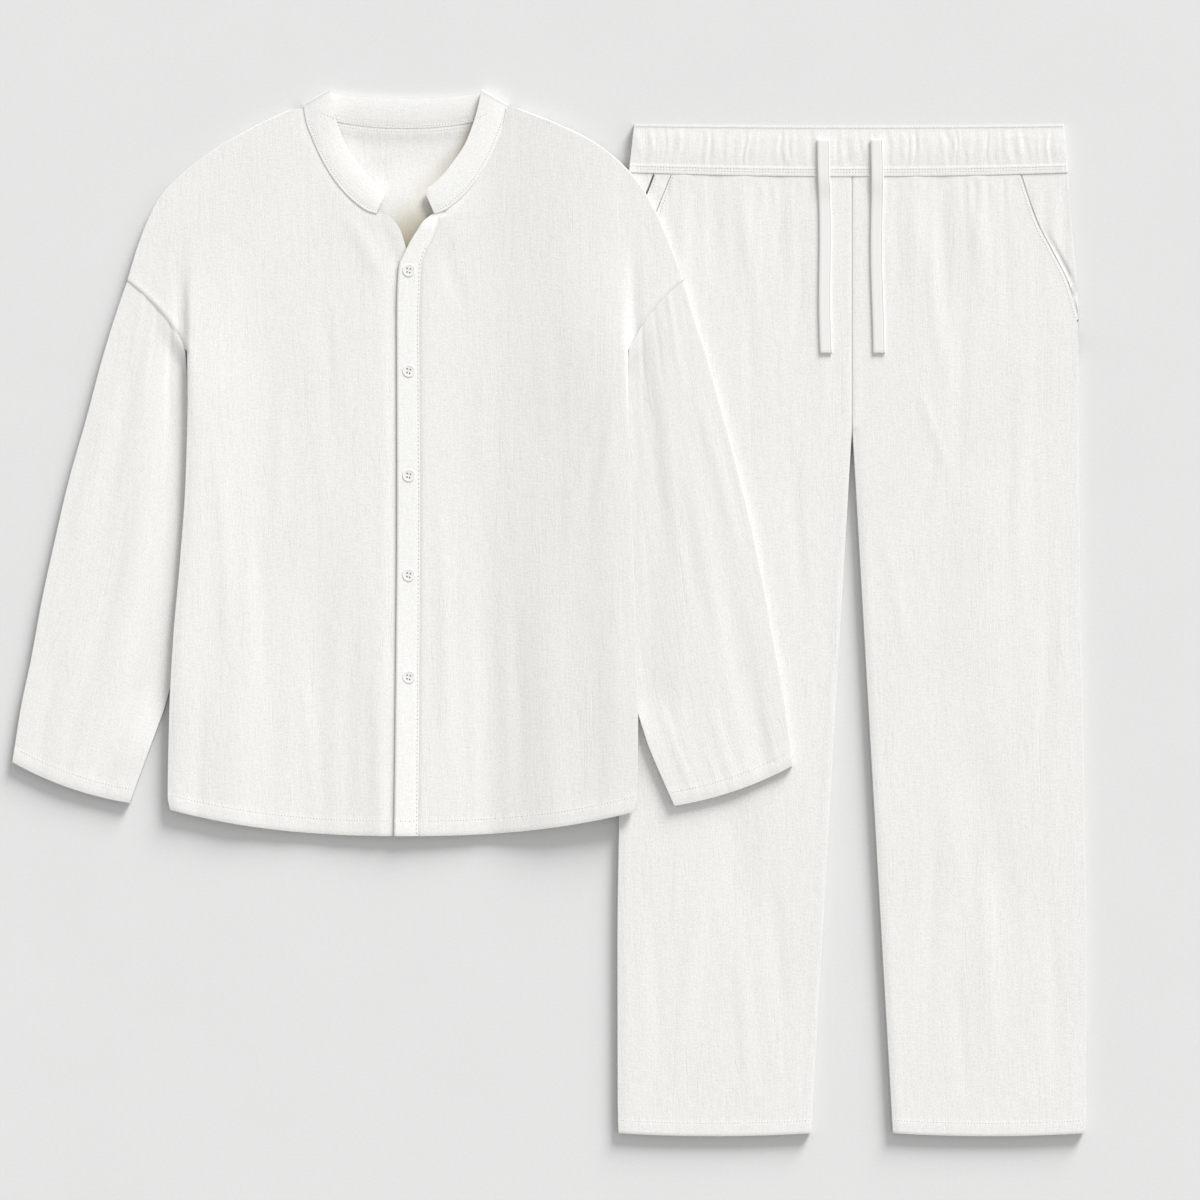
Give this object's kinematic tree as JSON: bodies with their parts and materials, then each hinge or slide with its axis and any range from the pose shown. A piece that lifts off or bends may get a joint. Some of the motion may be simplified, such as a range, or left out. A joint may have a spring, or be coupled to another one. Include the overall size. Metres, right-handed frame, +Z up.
{
  "type": "co-ord set of band-collar shirt and drawstring trousers, laid flat",
  "caption": "Off-white gauze set laid flat: loose band-collar button shirt with dropped shoulders, one side over straight drawstring trousers.",
  "frame": {"origin": "centre of the set's footprint, on the surface it lies on", "axes": "+Z up from the surface, +Y towards the collar and the waistband, +X towards the trousers, which is the wearer's left on both"},
  "size_m": [1.0744, 1.0481, 0.0242],
  "materials": {
    "linen": "matt crinkled cotton and linen gauze, fine upright slubs",
    "tape": "flat stitched tape of the same cloth",
    "pearl": "soft shine, off-white, four holes"
  },
  "bodies": {
    "root": {"shirt_back": "linen", "shirt_front_right": "linen", "shirt_front_left": "linen", "shirt_placket": "linen", "shirt_collar": "linen", "shirt_sleeve_right": "linen", "shirt_sleeve_left": "linen", "button_1": "pearl", "button_2": "pearl", "button_3": "pearl", "button_4": "pearl", "button_5": "pearl", "waistband": "linen", "trouser_back_right": "linen", "trouser_back_left": "linen", "trouser_front_right": "linen", "trouser_front_left": "linen", "pocket_right": "linen", "pocket_left": "linen", "drawstring_right": "tape", "drawstring_left": "tape"}
  },
  "joints": []
}
